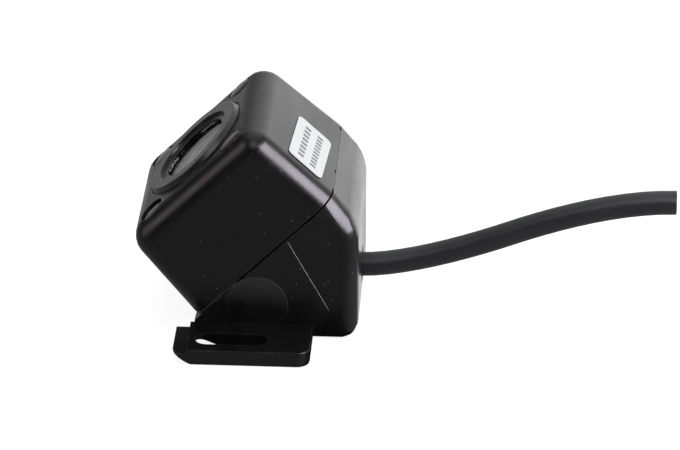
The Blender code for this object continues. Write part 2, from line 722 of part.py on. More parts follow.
def build_lens_barrel(optic):
    """The barrel, stepped inside for its elements, and the ring that caps the front one."""
    head_top = -BARREL_HEAD_DEPTH
    head_bottom = head_top - BARREL_HEAD_LENGTH
    rear = -BARREL_END
    seat = head_bottom - 0.2 * MM
    rear_lip = rear + 0.8 * MM
    exit_radius = 2.6 * MM
    bore_radius = 3.6 * MM
    seat_radius = 5.0 * MM
    profile = [(BARREL_HEAD_RADIUS, head_top), (BARREL_HEAD_RADIUS, head_bottom),
               (BARREL_RADIUS, head_bottom), (BARREL_RADIUS, rear), (exit_radius, rear),
               (exit_radius, rear_lip), (bore_radius, rear_lip), (bore_radius, seat), (seat_radius, seat),
               (seat_radius, head_top)]
    finish_part(turned("lens_barrel", profile, optic), BLACK, 0.45)
    cap_top = -4.9 * MM
    cap_bottom = head_top + CLEARANCE
    cap_radius = BARREL_HEAD_RADIUS - 0.2 * MM
    profile = [(4.3 * MM, cap_top), (cap_radius, cap_top), (cap_radius, cap_bottom), (4.85 * MM, cap_bottom)]
    finish_part(turned("lens_cap_ring", profile, optic), BLACK, 0.35)


def build_front_element(optic):
    """A wide-angle meniscus: a domed front over a shallower hollow back."""
    rim = 4.8 * MM
    rim_height = -6.3 * MM
    apex = -2.95 * MM
    rise = apex - rim_height
    front_radius = (rim ** 2 + rise ** 2) / (2 * rise)
    dome = arc((0, apex - front_radius), front_radius, 90, 90 - degrees(asin(rim / front_radius)), 6)
    back_height = -7.5 * MM
    hollow_reach = 4.0 * MM
    hollow_drop = 2.4 * MM
    hollow_radius = sqrt(hollow_reach ** 2 + hollow_drop ** 2)
    edge_angle = degrees(asin(hollow_drop / hollow_radius))
    hollow = arc((0, back_height - hollow_drop), hollow_radius, edge_angle, 90, 4)
    profile = dome + [(rim, back_height)] + hollow
    finish_part(turned("front_element", profile, optic, closed=False), (0.55, 0.5, 0.62), 0.02)


def build_rear_element(optic):
    """A small lens, domed on both sides."""
    radius = 3.4 * MM
    curve = 7.0 * MM
    front = -9.6 * MM
    back = -12.3 * MM
    swing = degrees(asin(radius / curve))
    top = arc((0, front - curve), curve, 90, 90 - swing, 3)
    bottom = arc((0, back + curve), curve, -90 + swing, -90, 3)
    element = turned("rear_element", top + bottom, optic, MEDIUM_STEPS, closed=False)
    finish_part(element, (0.5, 0.55, 0.6), 0.02)


def build_barrel_seal(optic):
    seal = ring_torus("barrel_seal", 6.4 * MM, 0.35 * MM, -8.1 * MM, optic)
    return finish_part(seal, RUBBER, 0.7)


def build_lens_holder(optic):
    """A tower on a square base, bored for the barrel, with a window and room for the sensor below."""
    bottom = -HOLDER_BOTTOM
    base_top = -HOLDER_SHOULDER
    top = -HOLDER_TOP
    holder = plate("lens_holder", HOLDER_HALF, HOLDER_HALF, bottom, base_top, optic, 0.8 * MM)
    join(holder, rod("holder_tower", HOLDER_RADIUS, (0, 0, base_top - BEYOND), (0, 0, top), optic))
    floor = depth_point(0, 0, HOLDER_FLOOR)
    cut(holder, rod("holder_bore", HOLDER_BORE, floor, (0, 0, top + BEYOND), optic))
    window_start = depth_point(0, 0, HOLDER_FLOOR + BEYOND)
    window_end = depth_point(0, 0, HOLDER_FLOOR - BEYOND)
    cut(holder, rod("holder_window", 3.0 * MM, window_start, window_end, optic))
    room = 4.5 * MM
    cut(holder, plate("sensor_room", room, room, bottom - BEYOND, -HOLDER_FLOOR - 0.3 * MM, optic))
    for side in (-1, 1):
        place = side * HOLDER_SCREW_PLACE
        cut(holder, rod("holder_screw_hole_" + str(side), HOLDER_SCREW_HOLE, (place, place, bottom - BEYOND),
                        (place, place, base_top - 0.6 * MM), optic, SMALL_STEPS))
    return finish_part(holder, BLACK, 0.55)


def build_sensor(optic):
    """The infrared filter and the image sensor, stacked in the holder's room."""
    half = 3.7 * MM
    ir_filter = plate("ir_filter", half, half, -14.65 * MM, -14.25 * MM, optic)
    finish_part(ir_filter, (0.35, 0.6, 0.62), 0.05)
    half = 3.1 * MM
    sensor = plate("image_sensor", half, half, -SENSOR_BOARD_DEPTH + TIGHT_CLEARANCE, -14.95 * MM, optic)
    finish_part(sensor, (0.05, 0.06, 0.08), 0.2)


# Boards

def screw(name, place, head_low, head_high, tip, shank_radius, parent):
    """A pan-head screw along the optical axis, its head at the rear, with a straight drive slot."""
    head_radius = shank_radius * 1.7
    drive_half = 0.2 * MM
    drive_depth = 0.35 * MM
    profile = [(0, tip), (shank_radius * 0.6, tip), (shank_radius, tip - 0.3 * MM), (shank_radius, head_high),
               (head_radius, head_high), (head_radius, head_low + 0.25 * MM), (head_radius * 0.8, head_low),
               (0, head_low)]
    obj = turned(name, profile, parent, SMALL_STEPS, closed=False)
    obj.location = (*place, 0)
    reach = head_radius * 1.2
    cut(obj, box(name + "_drive", (place[0] - reach, place[1] - drive_half, head_low - BEYOND),
                 (place[0] + reach, place[1] + drive_half, head_low + drive_depth), parent))
    return finish_part(obj, (0.6, 0.6, 0.58), 0.3, 1.0)


def board_holes(board, depth, thickness, places, radius, parent):
    for index, (up, across) in enumerate(places):
        start = depth_point(up, across, depth - BEYOND)
        end = depth_point(up, across, depth + thickness + BEYOND)
        cut(board, rod(board.name + "_hole_" + str(index), radius, start, end, parent, SMALL_STEPS))


def circuit_board(name, depth, thickness, size, post_hole, parent):
    """A board with rounded corners, and a hole at each post."""
    board = plate(name, size.x / 2, size.y / 2, -depth - thickness, -depth, parent, BOARD_CORNER)
    board_holes(board, depth, thickness, [(0, -POST_Y), (0, POST_Y)], post_hole, parent)
    return finish_part(board, BOARD_GREEN, 0.4)


def build_sensor_board(optic):
    """The board that carries the sensor and the lens holder, with its two screws and its processor."""
    back = SENSOR_BOARD_DEPTH + SENSOR_BOARD_THICKNESS
    head_low = -back - 1.1 * MM
    board = circuit_board("sensor_board", SENSOR_BOARD_DEPTH, SENSOR_BOARD_THICKNESS, SENSOR_BOARD_SIZE,
                          1.2 * MM, optic)
    for index, side in enumerate((-1, 1), start=1):
        place = side * HOLDER_SCREW_PLACE
        cut(board, rod("sensor_board_corner_hole_" + str(side), HOLDER_SCREW_HOLE,
                       (place, place, -back - BEYOND), (place, place, -SENSOR_BOARD_DEPTH + BEYOND),
                       optic, SMALL_STEPS))
        screw("holder_screw_" + str(index), (place, place), head_low, -back - CLEARANCE, -13.7 * MM,
              0.75 * MM, optic)
    chip = box("signal_processor", (2.0 * MM, -3.4 * MM, head_low), (8.4 * MM, 3.0 * MM, -back - CLEARANCE),
               optic)
    finish_part(chip, (0.015, 0.015, 0.015), 0.5)


def build_standoffs(optic):
    """Hexagonal spacers between the boards: a stud through the sensor board, and a bore for a screw."""
    top = -SENSOR_BOARD_DEPTH - SENSOR_BOARD_THICKNESS - CLEARANCE
    bottom = -POWER_BOARD_DEPTH + CLEARANCE
    stud_tip = -POST_END + 4.0 * MM
    for index, side in enumerate((-1, 1), start=1):
        name = "standoff_" + str(index)
        place = side * POST_Y
        body = rod(name, 1.55 * MM, (0, place, bottom), (0, place, top), optic, 6)
        stud_start = (0, place, top - BEYOND / 2)
        join(body, rod(name + "_stud", 0.9 * MM, stud_start, (0, place, stud_tip), optic, SMALL_STEPS))
        bore_end = (0, place, top - 0.7 * MM)
        cut(body, rod(name + "_bore", 1.0 * MM, (0, place, bottom - BEYOND), bore_end, optic, SMALL_STEPS))
        finish_part(body, (0.7, 0.5, 0.18), 0.3, 1.0)


def build_power_board(optic):
    """The power board, its two screws, the header between the boards, and its two large components."""
    back = POWER_BOARD_DEPTH + POWER_BOARD_THICKNESS
    below = -back - CLEARANCE
    circuit_board("power_board", POWER_BOARD_DEPTH, POWER_BOARD_THICKNESS, POWER_BOARD_SIZE, 1.1 * MM, optic)
    for index, side in enumerate((-1, 1), start=1):
        screw("board_screw_" + str(index), (0, side * POST_Y), -back - 1.2 * MM, below, -18.5 * MM,
              0.8 * MM, optic)
    header_top = -SENSOR_BOARD_DEPTH - SENSOR_BOARD_THICKNESS - CLEARANCE
    header = box("board_header", (-8.0 * MM, -4.4 * MM, -POWER_BOARD_DEPTH + CLEARANCE),
                 (-5.9 * MM, 3.4 * MM, header_top), optic)
    finish_part(header, BLACK, 0.6)
    can_place = (4.2 * MM, 7.2 * MM)
    can_height = 3.1 * MM
    capacitor = rod("power_capacitor", 1.9 * MM, (*can_place, below - can_height), (*can_place, below), optic)
    finish_part(capacitor, (0.7, 0.7, 0.72), 0.3, 1.0)
    coil_height = 1.9 * MM
    inductor = box("power_inductor", (-5.6 * MM, -8.6 * MM, below - coil_height),
                   (-1.8 * MM, -5.0 * MM, below), optic, edge=0.3 * MM)
    finish_part(inductor, (0.08, 0.08, 0.09), 0.6)


# Cable

def build_cable_joint(optic):
    """The header on the power board's back, the plug in it, and the wires to the jacket."""
    back = POWER_BOARD_DEPTH + POWER_BOARD_THICKNESS
    header_end = back + 2.2 * MM
    plug_end = header_end + 1.9 * MM
    header = plate("cable_header", 2.0 * MM, 4.6 * MM, -header_end, -back - CLEARANCE, optic)
    finish_part(header, (0.85, 0.83, 0.75), 0.5)
    plug = plate("cable_plug", 1.7 * MM, 4.2 * MM, -plug_end, -header_end - CLEARANCE, optic)
    finish_part(plug, (0.88, 0.86, 0.8), 0.5)
    colors = {"red": (0.45, 0.01, 0.01), "black": (0.015, 0.015, 0.015),
              "yellow": (0.6, 0.42, 0.02), "white": (0.7, 0.7, 0.68)}
    for index, (color_name, color) in enumerate(colors.items()):
        order = index - (len(colors) - 1) / 2
        inner_wire = abs(order) < 1
        finish_part(wire("wire_" + color_name, order, inner_wire, plug_end), color, 0.45)


def wire(name, order, inner_wire, plug_end):
    """A wire from the plug's back to the jacket's end: the inner two lie above the outer two there."""
    leave_length = 0.9 * MM
    across = order * WIRE_PITCH
    gather = order * WIRE_PITCH_IN_JACKET
    height = CABLE_Z + (0.45 * MM if inner_wire else -0.25 * MM)
    start = optic_to_world(0, across, plug_end + TIGHT_CLEARANCE)
    leave = optic_to_world(0.1 * MM, across, plug_end + leave_length)
    arrive = Vector((CABLE_START_X - leave_length, gather, height))
    end = Vector((CABLE_START_X - TIGHT_CLEARANCE, gather, height))
    return tube_along(name, [start, leave, arrive, end], WIRE_RADIUS)


def build_grommet():
    """A flanged sleeve: its flange is inside the rear wall and its nose fills the wall's hole."""
    bore = CABLE_RADIUS + 0.2 * MM
    nose_end = REAR_X - 0.1 * MM
    flange_top = REAR_X - WALL - CLEARANCE
    flange_bottom = flange_top - 1.0 * MM
    profile = [(GROMMET_NOSE, nose_end), (GROMMET_NOSE, flange_top), (GROMMET_FLANGE, flange_top),
               (GROMMET_FLANGE, flange_bottom), (bore, flange_bottom), (bore, nose_end)]
    grommet = turned("cable_grommet", profile, None, MEDIUM_STEPS)
    grommet.location = (0, 0, CABLE_Z)
    grommet.rotation_euler = (0, pi / 2, 0)
    return finish_part(grommet, RUBBER, 0.6)


def build_cable():
    """The jacket: straight out of the grommet, then a slow rise that levels off at the cut end."""
    inner_end = (CABLE_START_X, CABLE_Z, 1.0 * MM, 1.0 * MM, 0.0)
    leaves_wall = (REAR_X - CLEARANCE, CABLE_Z, 1.2 * MM, 6.3 * MM, 0.0)
    climbs = (39.7 * MM, 11.5 * MM, 7.0 * MM, 7.3 * MM, 0.4)
    cut_end = (CABLE_END.x, CABLE_END.y, 8.4 * MM, 1.0 * MM, 0.0)
    knots = [inner_end, leaves_wall, climbs, cut_end]
    curve = bpy.data.curves.new("cable", "CURVE")
    curve.dimensions = "3D"
    curve.resolution_u = 10
    curve.bevel_depth = CABLE_RADIUS
    curve.bevel_resolution = 5
    curve.use_fill_caps = True
    spline = curve.splines.new("BEZIER")
    spline.bezier_points.add(len(knots) - 1)
    for point, (x, z, behind, ahead, slope) in zip(spline.bezier_points, knots):
        point.handle_left_type = "FREE"
        point.handle_right_type = "FREE"
        point.co = (x, 0, z)
        point.handle_left = (x - behind, 0, z - slope * behind)
        point.handle_right = (x + ahead, 0, z + slope * ahead)
    return finish_part(add_object("cable", curve), (0.02, 0.021, 0.024), 0.42)


def build_label(optic):
    """A thin sticker on the housing's drafted top face."""
    slope = atan(DRAFT_UP)
    label = box("label", -LABEL_SIZE / 2, LABEL_SIZE / 2, optic, upright_radius=LABEL_CORNER)
    face_up = FACE_HEIGHT / 2 + DRAFT_UP * LABEL_DEPTH
    lift = LABEL_LIFT + LABEL_SIZE.z / 2
    label.location = (face_up + lift * cos(slope), LABEL_ACROSS, -LABEL_DEPTH + lift * sin(slope))
    label.rotation_mode = "QUATERNION"
    lay = Matrix.Rotation(pi / 2 - slope, 4, "Y")
    skew = Matrix.Rotation(LABEL_SKEW, 4, "Z")
    label.rotation_quaternion = (lay @ skew).to_quaternion()
    return finish_part(label, (0.8, 0.81, 0.82), 0.45)


def main():
    optic = make_empty("optical_frame", FACE_CENTRE, (0, -TILT, 0))
    build_front_shell(optic)
    build_rear_shell(optic)
    build_housing_gasket(optic)
    build_lens_ring(optic)
    build_window(optic)
    build_ring_nut(optic)
    build_lamps(optic)
    build_led_boards(optic)
    build_lens(optic)
    build_barrel_seal(optic)
    build_lens_holder(optic)
    build_sensor(optic)
    build_sensor_board(optic)
    build_standoffs(optic)
    build_power_board(optic)
    build_cable_joint(optic)
    build_grommet()
    build_cable()
    build_label(optic)


main()
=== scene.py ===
"""Looks for the backup camera: finished outer pieces, materials, floor, light and camera.

Lengths are in metres, and the materials' textures are laid out in millimetres. The camera's outer
pieces are finer copies of the CAD nodes, with their edges broken, and the CAD nodes keep the inside.
"""

import json
from math import cos, pi, radians, sin

import bmesh
import bpy
import numpy as np
from mathutils import Matrix, Vector


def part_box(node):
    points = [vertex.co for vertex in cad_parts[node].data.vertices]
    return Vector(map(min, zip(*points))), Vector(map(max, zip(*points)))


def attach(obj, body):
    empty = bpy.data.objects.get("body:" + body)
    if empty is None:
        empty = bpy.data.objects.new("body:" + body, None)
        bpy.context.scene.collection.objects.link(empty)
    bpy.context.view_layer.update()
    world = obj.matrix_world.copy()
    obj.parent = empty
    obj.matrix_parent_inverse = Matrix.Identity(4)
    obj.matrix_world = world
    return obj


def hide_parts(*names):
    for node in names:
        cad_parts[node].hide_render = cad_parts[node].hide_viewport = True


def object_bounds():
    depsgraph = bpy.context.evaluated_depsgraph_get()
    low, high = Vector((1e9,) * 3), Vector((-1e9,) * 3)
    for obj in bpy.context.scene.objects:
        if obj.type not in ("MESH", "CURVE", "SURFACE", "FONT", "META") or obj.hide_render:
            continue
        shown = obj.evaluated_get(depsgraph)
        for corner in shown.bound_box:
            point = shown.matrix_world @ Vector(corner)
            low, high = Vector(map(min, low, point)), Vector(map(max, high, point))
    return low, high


MM = 0.001

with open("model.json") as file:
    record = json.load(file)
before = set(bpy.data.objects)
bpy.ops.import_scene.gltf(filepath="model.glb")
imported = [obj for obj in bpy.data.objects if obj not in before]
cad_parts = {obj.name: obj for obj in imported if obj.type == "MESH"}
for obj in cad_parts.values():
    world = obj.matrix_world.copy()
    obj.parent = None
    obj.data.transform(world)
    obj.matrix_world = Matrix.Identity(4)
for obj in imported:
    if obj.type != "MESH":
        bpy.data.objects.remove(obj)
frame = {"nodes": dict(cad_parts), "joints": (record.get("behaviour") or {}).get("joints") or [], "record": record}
CAD_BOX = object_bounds()
NODES = frame["nodes"]
SLOT_OF = {row["node"]: row["material_slot"] for row in frame["record"]["subparts"]}
BODY_OF = {node: body for body, nodes in frame["record"]["behaviour"]["bodies"].items() for node in nodes}

# The lens axis is the focusing joint's: it gives the ring's centre and the way that the lens looks
FOCUS = next(joint for joint in frame["joints"] if joint["name"] == "focus_turn")
LENS_AXIS = Vector(FOCUS["axis"]).normalized()
LENS_POINT = Vector(FOCUS["pos_m"])

# Camera, at the height and turn that the object is looked at from
CAMERA_TARGET = Vector((13.61, 0.0, 12.14)) * MM
CAMERA_DISTANCE = 654.3 * MM
CAMERA_AZIMUTH = radians(2.879)
CAMERA_ELEVATION = radians(25.859)
CAMERA_ROLL = radians(0.25)
CAMERA_LENS = 226.06


# Shader nodes

# The part of 0 to 1 that a noise mostly stays in
NOISE_SPAN = (0.3, 0.7)

# The cosines between the true and the rounded normal at which the edge mask is 0, and 1
EDGE_SPAN = (0.985, 0.90)


class Shade:
    """A Principled material, with short calls for the nodes that paint it. Textures are in millimetres."""

    def __init__(self, name, roughness=0.5, metallic=0.0, **constants):
        self.material = bpy.data.materials.new(name)
        self.material.use_nodes = True
        self.tree = self.material.node_tree
        self.shader = self.tree.nodes["Principled BSDF"]
        self.shader.inputs["Roughness"].default_value = roughness
        self.shader.inputs["Metallic"].default_value = metallic
        for socket, value in constants.items():
            self.shader.inputs[socket.replace("_", " ")].default_value = value
        coordinates = self.tree.nodes.new("ShaderNodeTexCoord")
        self.place = self.vector("SCALE", coordinates.outputs["Object"], scale=1 / MM)

    def add(self, kind, **settings):
        node = self.tree.nodes.new(kind)
        for name, value in settings.items():
            setattr(node, name, value)
        return node

    def feed(self, socket, source):
        """Gives an input a constant or another node's output."""
        if isinstance(source, bpy.types.NodeSocket):
            self.tree.links.new(source, socket)
        else:
            socket.default_value = source

    def vector(self, operation, first, second=None, scale=None):
        node = self.add("ShaderNodeVectorMath", operation=operation)
        self.feed(node.inputs[0], first)
        if second is not None:
            self.feed(node.inputs[1], second)
        if scale is not None:
            node.inputs["Scale"].default_value = scale
        return node.outputs["Value"] if operation in ("DOT_PRODUCT", "LENGTH") else node.outputs["Vector"]

    def math(self, operation, first, second=0.0):
        node = self.add("ShaderNodeMath", operation=operation)
        self.feed(node.inputs[0], first)
        self.feed(node.inputs[1], second)
        return node.outputs["Value"]

    def noise(self, size, detail=2.0, stretch=None):
        """Smooth noise from 0 to 1 whose features are about size mm across."""
        source = self.vector("MULTIPLY", self.place, stretch) if stretch else self.place
        node = self.add("ShaderNodeTexNoise")
        self.feed(node.inputs["Vector"], source)
        node.inputs["Scale"].default_value = 1.0 / size
        node.inputs["Detail"].default_value = detail
        return node.outputs["Fac"]

    def specks(self, spacing, radius, share):
        """A mask of small round specks: one in each cell of that spacing, in a share of the cells."""
        cells = self.add("ShaderNodeTexVoronoi")
        self.feed(cells.inputs["Vector"], self.place)
        cells.inputs["Scale"].default_value = 1.0 / spacing
        near = self.remap(cells.outputs["Distance"], radius / spacing, 0.6 * radius / spacing)
        pick = self.add("ShaderNodeSeparateColor")
        self.feed(pick.inputs[0], cells.outputs["Color"])
        chosen = self.math("LESS_THAN", pick.outputs[0], share)
        return self.math("MULTIPLY", near, chosen)

    def remap(self, source, low, high, to_low=0.0, to_high=1.0):
        node = self.add("ShaderNodeMapRange")
        self.feed(node.inputs["Value"], source)
        node.inputs["From Min"].default_value = low
        node.inputs["From Max"].default_value = high
        node.inputs["To Min"].default_value = to_low
        node.inputs["To Max"].default_value = to_high
        return node.outputs["Result"]

    def spread(self, noise, low, high):
        """Stretches a noise so that it runs from one value to the other."""
        return self.remap(noise, *NOISE_SPAN, low, high)

    def blend(self, factor, first, second):
        """The first colour where the factor is 0 and the second where it is 1."""
        node = self.add("ShaderNodeMix", data_type="RGBA")
        self.feed(node.inputs["Factor"], factor)
        self.feed(node.inputs[6], first)
        self.feed(node.inputs[7], second)
        return node.outputs[2]

    def edge_mask(self, radius):
        """1 on outer edges that are sharper than the radius, in mm, and 0 on flat faces."""
        rounded = self.add("ShaderNodeBevel", samples=4)
        rounded.inputs["Radius"].default_value = radius * MM
        surface = self.add("ShaderNodeNewGeometry")
        facing = self.vector("DOT_PRODUCT", rounded.outputs["Normal"], surface.outputs["Normal"])
        return self.remap(facing, *EDGE_SPAN)

    def bump(self, height, depth, below=None):
        """A bump whose full height is depth mm, on top of another bump."""
        node = self.add("ShaderNodeBump")
        node.inputs["Strength"].default_value = 1.0
        node.inputs["Distance"].default_value = depth * MM
        self.feed(node.inputs["Height"], height)
        if below is not None:
            self.feed(node.inputs["Normal"], below)
        return node.outputs["Normal"]

    def finish(self, colour, roughness=None, normal=None):
        self.feed(self.shader.inputs["Base Color"], colour)
        if roughness is not None:
            self.feed(self.shader.inputs["Roughness"], roughness)
        if normal is not None:
            self.feed(self.shader.inputs["Normal"], normal)
        return self.material


def grey(value, red=1.0, green=1.0, blue=1.0):
    return (value * red, value * green, value * blue, 1.0)


# Materials

# The black plastic's faint blue cast, how rough dust is, and the pitch of the ring's lines in mm
SHELL_TINT = (1.0, 1.0, 1.04)
DUST_ROUGHNESS = 0.8
RING_LINE_PITCH = 0.16


def dusty(shade, colour, roughness, spacing, radius, share, dust=0.30):
    """Adds sparse pale dust, of that grey value, to a colour and a roughness."""
    specks = shade.specks(spacing, radius, share)
    painted = shade.blend(specks, colour, grey(dust, 1.0, 0.98, 0.94))
    return painted, shade.math("MAXIMUM", roughness, shade.math("MULTIPLY", specks, DUST_ROUGHNESS))


def moulded_plastic(name, value, gloss, dust_share=0.06, specular=0.42, painted_light=None):
    """Satin black moulding: fine spark-eroded grain, handling smears, hairlines, dust, and rubbed edges with a
    painted highlight.
    """
    shade = Shade(name, IOR=1.5, Specular_IOR_Level=specular)
    mottle = shade.noise(7.0, 3.0)
    grain = shade.noise(0.09, 2.0)
    peel = shade.noise(0.9, 1.0)
    smear = shade.noise(3.5, 4.0, stretch=(1.0, 0.25, 0.7))
    hairline = shade.remap(shade.noise(0.35, 1.0, stretch=(1.0, 0.035, 0.12)), 0.68, 0.74)
    colour = shade.blend(mottle, grey(value * 0.75, *SHELL_TINT), grey(value * 1.35, *SHELL_TINT))
    # Edges are lightened unevenly: partly rubbed wear, partly a painted highlight.
    edge = shade.edge_mask(0.22)
    rub_and_highlight = shade.math("MULTIPLY", edge, shade.remap(shade.noise(1.6, 3.0), 0.4, 0.65, 0.15, 0.9))
    colour = shade.blend(rub_and_highlight, colour, grey(value + 0.045, *SHELL_TINT))
    # Painted light, here the round pads' painted highlight, goes onto the colour last.
    if painted_light:
        colour = painted_light(shade, colour)
    rough = shade.spread(smear, gloss - 0.05, gloss + 0.06)
    rough = shade.math("ADD", rough, shade.math("MULTIPLY", hairline, 0.07))
    rough = shade.math("ADD", rough, shade.math("MULTIPLY", grain, 0.05))
    colour, rough = dusty(shade, colour, rough, spacing=0.6, radius=0.085, share=dust_share, dust=0.22)
    colour, rough = dusty(shade, colour, rough, spacing=2.2, radius=0.15, share=dust_share, dust=0.34)
    normal = shade.bump(grain, 0.006)
    normal = shade.bump(peel, 0.010, normal)
    return shade.finish(colour, rough, normal)


def lens_radius(shade):
    """Distance from the lens axis in mm."""
    out = shade.vector("SUBTRACT", shade.place, LENS_POINT / MM)
    return shade.vector("LENGTH", shade.vector("CROSS_PRODUCT", out, LENS_AXIS))


def ring_plastic(name):
    """The ring's turned face: faint concentric lines under a satin black finish, and a painted highlight on its
    sharp edges.
    """
    shade = Shade(name, IOR=1.5, Specular_IOR_Level=0.62)
    radius = lens_radius(shade)
    lines = shade.math("SINE", shade.math("MULTIPLY", radius, 2 * pi / RING_LINE_PITCH))
    wobble = shade.noise(2.2, 3.0)
    grain = shade.noise(0.12, 2.0)
    colour = shade.blend(wobble, grey(0.004, 1.0, 0.98, 1.06), grey(0.008, 1.0, 0.98, 1.08))
    edge = shade.edge_mask(0.09)
    # Painted highlight: the ring's sharp edges are lightened to grey.
    colour = shade.blend(shade.math("MULTIPLY", edge, 0.7), colour, grey(0.12, 1.0, 0.98, 1.06))
    rough = shade.spread(wobble, 0.22, 0.30)
    colour, rough = dusty(shade, colour, rough, spacing=0.8, radius=0.05, share=0.22)
    normal = shade.bump(lines, 0.0012)
    normal = shade.bump(grain, 0.004, normal)
    return shade.finish(colour, rough, normal)


def lens_window(name):
    """Clear flat glass with a film of dust and a wiped smear, which lets the lens be seen."""
    shade = Shade(name, IOR=1.52, Transmission_Weight=1.0, Specular_IOR_Level=0.78)
    wipe = shade.noise(2.6, 4.0, stretch=(1.0, 0.3, 1.0))
    dust = shade.specks(0.9, 0.05, 0.35)
    colour = shade.blend(dust, grey(0.50, 0.98, 1.0, 1.0), grey(0.40))
    rough = shade.remap(wipe, 0.35, 0.7, 0.015, 0.075)
    rough = shade.math("MAXIMUM", rough, shade.math("MULTIPLY", dust, 0.5))
    return shade.finish(colour, rough, shade.bump(wipe, 0.0008))


def lamp_filter(name):
    """A near-black infrared filter cap: glossy, slightly uneven, with a dust speck or two."""
    shade = Shade(name, IOR=1.52, Specular_IOR_Level=0.42, Coat_Weight=0.10, Coat_Roughness=0.08)
    swirl = shade.noise(1.1, 3.0)
    colour = shade.blend(swirl, grey(0.007, 1.25, 0.95, 1.05), grey(0.018, 1.35, 0.95, 1.0))
    rough = shade.spread(swirl, 0.12, 0.24)
    colour, rough = dusty(shade, colour, rough, spacing=0.9, radius=0.05, share=0.3)
    return shade.finish(colour, rough, shade.bump(swirl, 0.006))


def cable_jacket(name):
    """Extruded jacket: fine lines drawn along it, soft patches of tone and dust that has clung to it."""
    shade = Shade(name, IOR=1.5, Specular_IOR_Level=0.45, Sheen_Weight=0.03, Sheen_Roughness=0.5)
    drawn = shade.noise(0.28, 2.0, stretch=(0.04, 1.0, 1.0))
    tone_patch = shade.noise(4.5, 3.0)
    grain = shade.noise(0.1, 2.0)
    colour = shade.blend(tone_patch, grey(0.013, 1.0, 1.04, 1.25), grey(0.019, 1.0, 1.04, 1.22))
    rough = shade.spread(drawn, 0.30, 0.42)
    colour, rough = dusty(shade, colour, rough, spacing=1.1, radius=0.05, share=0.25, dust=0.22)
    normal = shade.bump(drawn, 0.010)
    normal = shade.bump(grain, 0.005, normal)
    return shade.finish(colour, rough, normal)


def soft_rubber(name):
    """Matt black rubber with soft patches of tone."""
    shade = Shade(name, IOR=1.5, Specular_IOR_Level=0.3)
    tone_patch = shade.noise(1.8, 3.0)
    grain = shade.noise(0.08, 2.0)
    colour = shade.blend(tone_patch, grey(0.012), grey(0.03))
    rough = shade.spread(tone_patch, 0.66, 0.84)
    return shade.finish(colour, rough, shade.bump(grain, 0.008))


# Above this height the rear shell's sides hold the gussets and the round pads and no ear
ABOVE_EARS = 4.0 * MM

# Corners nearer to one level than this lie on it
LEVEL_TOLERANCE = 0.01 * MM


def long_axes(node):
    """A flat node's centre and its unit axes, longest first, from where its corners lie."""
    points = np.array([v.co for v in NODES[node].data.vertices])
    centre = (points.max(0) + points.min(0)) / 2
    _, _, axes = np.linalg.svd(points - points.mean(0), full_matrices=False)
    long_way = Vector(axes[0]) if axes[0][1] > 0 else -Vector(axes[0])
    short_way = Vector(axes[1]) if axes[1][2] > 0 else -Vector(axes[1])
    return Vector(centre), long_way, short_way


def side_levels():
    """How far out the gusset's face and the round pad's face stand."""
    points = np.abs([v.co for v in NODES["rear_shell"].data.vertices])
    above = points[points[:, 2] > ABOVE_EARS]
    levels = np.unique(np.round(above[:, 1], 5))
    return levels[-2], levels[-1]


def corners_at(level):
    """The rear shell's corners at that distance out on the side of -Y."""
    points = np.array([v.co for v in NODES["rear_shell"].data.vertices])
    return points[np.abs(points[:, 1] + level) < LEVEL_TOLERANCE]


def pad_painted_highlight(shade, colour):
    """Painted highlight: paler on the upper half of each round pad, brightest along its rim."""
    pad_level = side_levels()[1]
    corners = corners_at(pad_level) / MM
    left, right, top = corners[:, 0].min(), corners[:, 0].max(), corners[:, 2].max()
    radius = (right - left) / 2
    flat = shade.vector("MULTIPLY", shade.place, (1.0, 0.0, 1.0))
    out = shade.vector("SUBTRACT", flat, ((left + right) / 2, 0.0, top - radius))
    away = shade.vector("LENGTH", out)
    up = shade.vector("DOT_PRODUCT", out, (0.15, 0.0, 1.0))
    upper = shade.remap(up, -0.3, 0.75 * radius)
    inside = shade.remap(away, radius, radius - 0.15, to_high=0.5)
    off_rim = shade.math("ABSOLUTE", shade.math("SUBTRACT", away, radius - 0.05))
    rim = shade.remap(off_rim, 0.22, 0.05)
    tone_patch = shade.math("MULTIPLY", shade.math("MAXIMUM", inside, rim), upper)
    tone_patch = shade.math("MULTIPLY", tone_patch, shade.spread(shade.noise(2.5, 3.0), 0.7, 1.0))
    return shade.blend(tone_patch, colour, grey(0.045, 1.0, 0.96, 1.02))


# The sticker's rows of bars, in mm: how far up the row is, half its length, and the bars' pitch
STICKER_ROWS = ((1.15, 5.8, 1.45), (-1.25, 6.2, 1.20))


